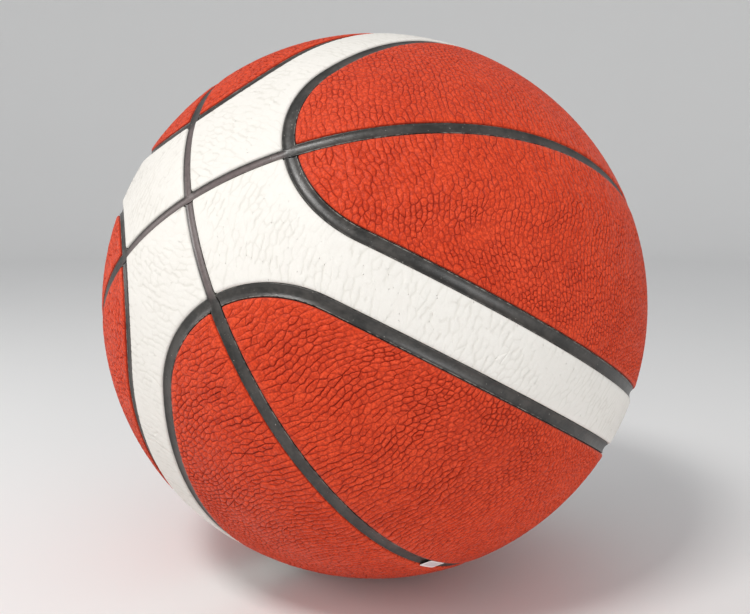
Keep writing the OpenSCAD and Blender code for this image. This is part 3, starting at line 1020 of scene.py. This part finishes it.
def makeRubberGroup():
    inputs = rubberLooks["seam rubber"]["inputs"]
    tree, into = newGroup("mottled rubber", dict(inputs, Place=None, Lip=0.0, Pale=0.0, Channel=1.0))
    place = into["Place"]
    broad = noiseNode(place, 95, 3, 0.55, 0.5)
    fine = noiseNode(place, 620, 4, 0.62)
    specks = noiseNode(place, 1500, 1, 0.4)
    patch = spreadNode(plus(broad, times(fine, 0.6)), 0.62, 1.0)
    colour = mixColours(tree, patch, into["Base"], into["Patch"])
    pale = times(into["Pale"], spreadNode(fine, 0.25, 0.6, 0.6, 1.0))
    # Less pale towards the channel's sides: painted shade.
    pale = times(pale, spreadNode(into["Channel"], 0.0, 0.6, 0.35, 1.0))
    colour = mixColours(tree, pale, colour, into["Pale colour"])
    # Darker along the channel's sides: painted shade.
    colour = mixColours(tree, spreadNode(into["Channel"], 0.15, 0.85, 0.6, 0.0), colour, into["Base"])
    # Dust along the lips, partly a painted highlight, and fine specks of dust all over.
    lipDustAndHighlight = times(into["Lip"], spreadNode(broad, 0.38, 0.5))
    lipDustAndHighlight = times(lipDustAndHighlight, spreadNode(fine, 0.42, 0.58))
    dustAndHighlight = plus(times(lipDustAndHighlight, 0.8), spreadNode(specks, 0.74, 0.82), clamp=True)
    dustAndHighlight = times(dustAndHighlight, into["Dust and highlight amount"])
    colour = mixColours(tree, dustAndHighlight, colour, into["Dust and highlight"])
    rough = plus(plus(into["Gloss"], times(fine, 0.22)), times(dustAndHighlight, 0.3))
    height = plus(times(broad, 0.5), times(fine, 0.5))
    return groupOutputs(tree, colour, rough, height)


def intoShader(shader, colour, rough, height, bump):
    feed(shader.inputs["Base Color"], colour)
    feed(shader.inputs["Roughness"], rough)
    node = shader.id_data.nodes.new("ShaderNodeBump")
    node.inputs["Strength"].default_value, node.inputs["Distance"].default_value = bump
    feed(node.inputs["Height"], height)
    feed(shader.inputs["Normal"], node.outputs["Normal"])


# A material from a look and a group. The masks are attributes of the mesh, and feed the inputs of their names.
def makeFinish(name, group, look, masks=()):
    finish, tree, shader = newMaterial(name)
    node = tree.nodes.new("ShaderNodeGroup")
    node.node_tree = group
    values = dict(look["inputs"], Place=objectPlace(tree))
    for mask in masks:
        values[mask] = attributeNode(tree, mask.lower())
    for key, value in values.items():
        feed(node.inputs[key], value)
    for key, value in look["shader"].items():
        shader.inputs[key].default_value = value
    out = node.outputs
    intoShader(shader, out["Color"], out["Roughness"], out["Height"], look["bump"])
    return finish


def makeFoam(name):
    finish, tree, shader = newMaterial(name)
    cells = tree.nodes.new("ShaderNodeTexVoronoi")
    cells.inputs["Scale"].default_value = 1700
    feed(cells.inputs["Vector"], objectPlace(tree))
    blotch = noiseNode(objectPlace(tree), 60, 3, 0.5)
    pit = spreadNode(cells.outputs["Distance"], 0.1, 0.65)
    # Darker in the pits of the cells: painted shade.
    colour = mixColours(tree, pit, (0.36, 0.34, 0.30, 1), (0.52, 0.50, 0.45, 1))
    colour = mixColours(tree, spreadNode(blotch, 0.4, 0.7, 0, 0.35), colour, (0.60, 0.55, 0.45, 1))
    intoShader(shader, colour, 0.9, pit, (0.7, 0.0003))
    return finish


# Thread wound in four directions.
def makeThread(name):
    finish, tree, shader = newMaterial(name)
    top = None
    for turn in ((0.4, 0.2, 0.0), (1.3, 0.7, 0.5), (0.1, 1.2, 1.9), (0.9, 2.1, 0.3)):
        mapping = tree.nodes.new("ShaderNodeMapping")
        mapping.inputs["Rotation"].default_value = turn
        feed(mapping.inputs["Vector"], objectPlace(tree))
        wave = tree.nodes.new("ShaderNodeTexWave")
        wave.wave_type = "BANDS"
        for key, value in (("Scale", 420), ("Distortion", 1.2), ("Detail", 1)):
            wave.inputs[key].default_value = value
        feed(wave.inputs["Vector"], mapping.outputs["Vector"])
        top = wave.outputs["Fac"] if top is None else mathNode(tree, "MAXIMUM", top, wave.outputs["Fac"])
    # Darker between the strands: painted shade.
    colour = mixColours(tree, spreadNode(top, 0.4, 1.0), (0.32, 0.29, 0.22, 1), (0.72, 0.67, 0.55, 1))
    intoShader(shader, colour, 0.55, top, (0.8, 0.0004))
    return finish


def makePaper(name):
    finish, tree, shader = newMaterial(name)
    fibres = noiseNode(objectPlace(tree), 1400, 4, 0.6, 0.6)
    field = spreadNode(attributeNode(tree, "inner"), 0.7, 1.5)
    field = times(field, spreadNode(fibres, 0.3, 0.6, 0.6, 1.0))
    colour = mixColours(tree, spreadNode(fibres, 0.3, 0.7), (0.82, 0.81, 0.80, 1), (0.88, 0.87, 0.87, 1))
    colour = mixColours(tree, field, colour, (0.66, 0.60, 0.63, 1))
    intoShader(shader, colour, 0.5, fibres, (0.15, 0.0001))
    return finish


finishes = {
    "backing foam": makeFoam("backing foam"),
    "nylon thread": makeThread("nylon thread"),
    "label paper": makePaper("label paper"),
}
leatherGroup, rubberGroup = makeLeatherGroup(), makeRubberGroup()
for name, look in leatherLooks.items():
    finishes[name] = makeFinish(name, leatherGroup, look, ("CreaseShade", "Tone"))
for name, look in rubberLooks.items():
    masks = ("Lip", "Pale", "Channel") if name == "seam rubber" else ()
    finishes[name] = makeFinish(name, rubberGroup, look, masks)
print("finishes made:", len(finishes))

# The pieces


def finishPiece(piece, finish, slot, *replaced):
    piece.data.materials.append(finishes[finish])
    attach(piece, "root")
    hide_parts(*replaced)


for k, (name, turn, flip) in enumerate(halves):
    notched = turn == valveTurn
    grain = calmGrain if name.startswith("right") else orangeGrain
    place = halfPlace(turn, flip)
    made = leatherPanel("panel_" + name, halfPieces(notched), halfLayout, place, grain, 11 + k, notched)
    finishPiece(made, "orange leather", "orange_cover", "cover_" + name)
for k, (name, turn) in enumerate(bands):
    made = leatherPanel("panel_" + name, bandPieces(), bandLayout, halfPlace(turn), whiteGrain, 31 + k)
    finishPiece(made, "white leather", "white_cover", "cover_" + name)
print("panels made")

crossEnd = math.acos((seam["whiteWidth"] / 2 + 0.02) / crown)
bossEnd = (boss["outer"] - 0.9) / crown
topParts = [ringGrid(-crossEnd, -bossEnd, -1), ringGrid(bossEnd, crossEnd, -1), bossRing()]
rings = [
    ("whole", 0, [ringGrid(-math.pi, math.pi, -1, closed=True)]),
    ("top", 90, topParts),
    ("bottom", 270, [ringGrid(-crossEnd, crossEnd, 1)]),
]
for name, turn, parts in rings:
    made = stripPiece("seam_ring_" + name, parts, halfPlace(turn))
    finishPiece(made, "seam rubber", "seam_rubber", "ring_strip_" + name)
for name, turn, flip in halves:
    made = stripPiece("seam_loop_" + name, [loopGrid()], halfPlace(turn, flip))
    finishPiece(made, "seam rubber", "seam_rubber", "loop_strip_" + name)
print("seam strips made")

finishPiece(blankLabel("label_blank"), "label paper", "label_paper", "blank_label")

nodeFinishes = {
    "rubber_carcass": "carcass rubber", "nylon_winding": "nylon thread", "bladder": "butyl rubber",
    "valve_housing": "butyl rubber", "valve_core": "core rubber",
}
for name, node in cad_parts.items():
    finish = "backing foam" if name.startswith("foam_") else nodeFinishes.get(name)
    if finish:
        for slot in node.material_slots:
            slot.material = finishes[finish]
print("inner layers dressed")

# Studio

studio = {
    "floor": -0.121,
    "flat": 1.7,  # radius of the flat floor
    "bend": 0.5,  # radius of its rise to the low wall around it
    "wall": 0.25,
    "worldColour": (0.95, 0.96, 0.98, 1),
    "world": 0.49,
}


# A round floor that rises to a low wall, so that no edge of it shows from any side.
def studioFloor(name):
    floor, flat, bend = studio["floor"], studio["flat"], studio["bend"]
    profile = [(0.02, floor), (0.3, floor), (0.9, floor), (flat, floor)]
    for k in range(1, 13):
        turn = math.pi / 2 * k / 12
        profile.append((flat + bend * math.sin(turn), floor + bend * (1 - math.cos(turn))))
    profile.append((flat + bend, floor + bend + studio["wall"]))
    segments, n = 96, len(profile)
    faces = gridFaces(segments, n, True, False) + [[k * n for k in range(segments)]]
    made = meshFrom(name, spunPoints(profile, np.eye(3), segments), faces, scale=1)
    finish, tree, shader = newMaterial("studio floor")
    mottle = noiseNode(objectPlace(tree), 3, 3, 0.5)
    colour = mixColours(tree, mottle, (0.86, 0.86, 0.855, 1), (0.845, 0.845, 0.84, 1))
    feed(shader.inputs["Base Color"], colour)
    feed(shader.inputs["Roughness"], 0.8)
    made.data.materials.append(finish)


studioFloor("studio_floor")

world = bpy.data.worlds.new("studio")
bpy.context.scene.world = world
world.use_nodes = True
background = world.node_tree.nodes["Background"].inputs
background["Color"].default_value = studio["worldColour"]
background["Strength"].default_value = studio["world"]


def areaLight(name, place, size, power, colour):
    data = bpy.data.lights.new(name, "AREA")
    data.shape = "RECTANGLE"
    data.size, data.size_y = size
    data.energy = power
    data.color = colour
    light = bpy.data.objects.new(name, data)
    bpy.context.collection.objects.link(light)
    light.location = place
    light.rotation_euler = (-Vector(place)).to_track_quat("-Z", "Y").to_euler()


lights = [
    ("key", (-0.46, -0.66, 1.06), (0.34, 0.26), 9.3, (1.0, 0.99, 0.97)),
    ("fill", (0.62, -1.05, 0.14), (0.60, 0.40), 3.8, (0.98, 0.99, 1.0)),
    ("side", (-1.05, -0.10, 0.32), (0.50, 0.50), 2.7, (1.0, 0.98, 0.96)),
]
for light in lights:
    areaLight(*light)

view = {"distance": 0.4287, "above": 8.0, "focus": 927.8 / 750, "shift": (0.00033, -0.00155)}
cameraData = bpy.data.cameras.new("camera")
cameraData.sensor_width = 36
cameraData.lens = view["focus"] * 36
cameraData.shift_x, cameraData.shift_y = view["shift"]
camera = bpy.data.objects.new("camera", cameraData)
bpy.context.collection.objects.link(camera)
above = math.radians(view["above"])
camera.location = (0, -view["distance"] * math.cos(above), view["distance"] * math.sin(above))
camera.rotation_euler = (math.pi / 2 - above, 0, 0)
bpy.context.scene.camera = camera
bpy.context.scene.view_settings.view_transform = "Standard"
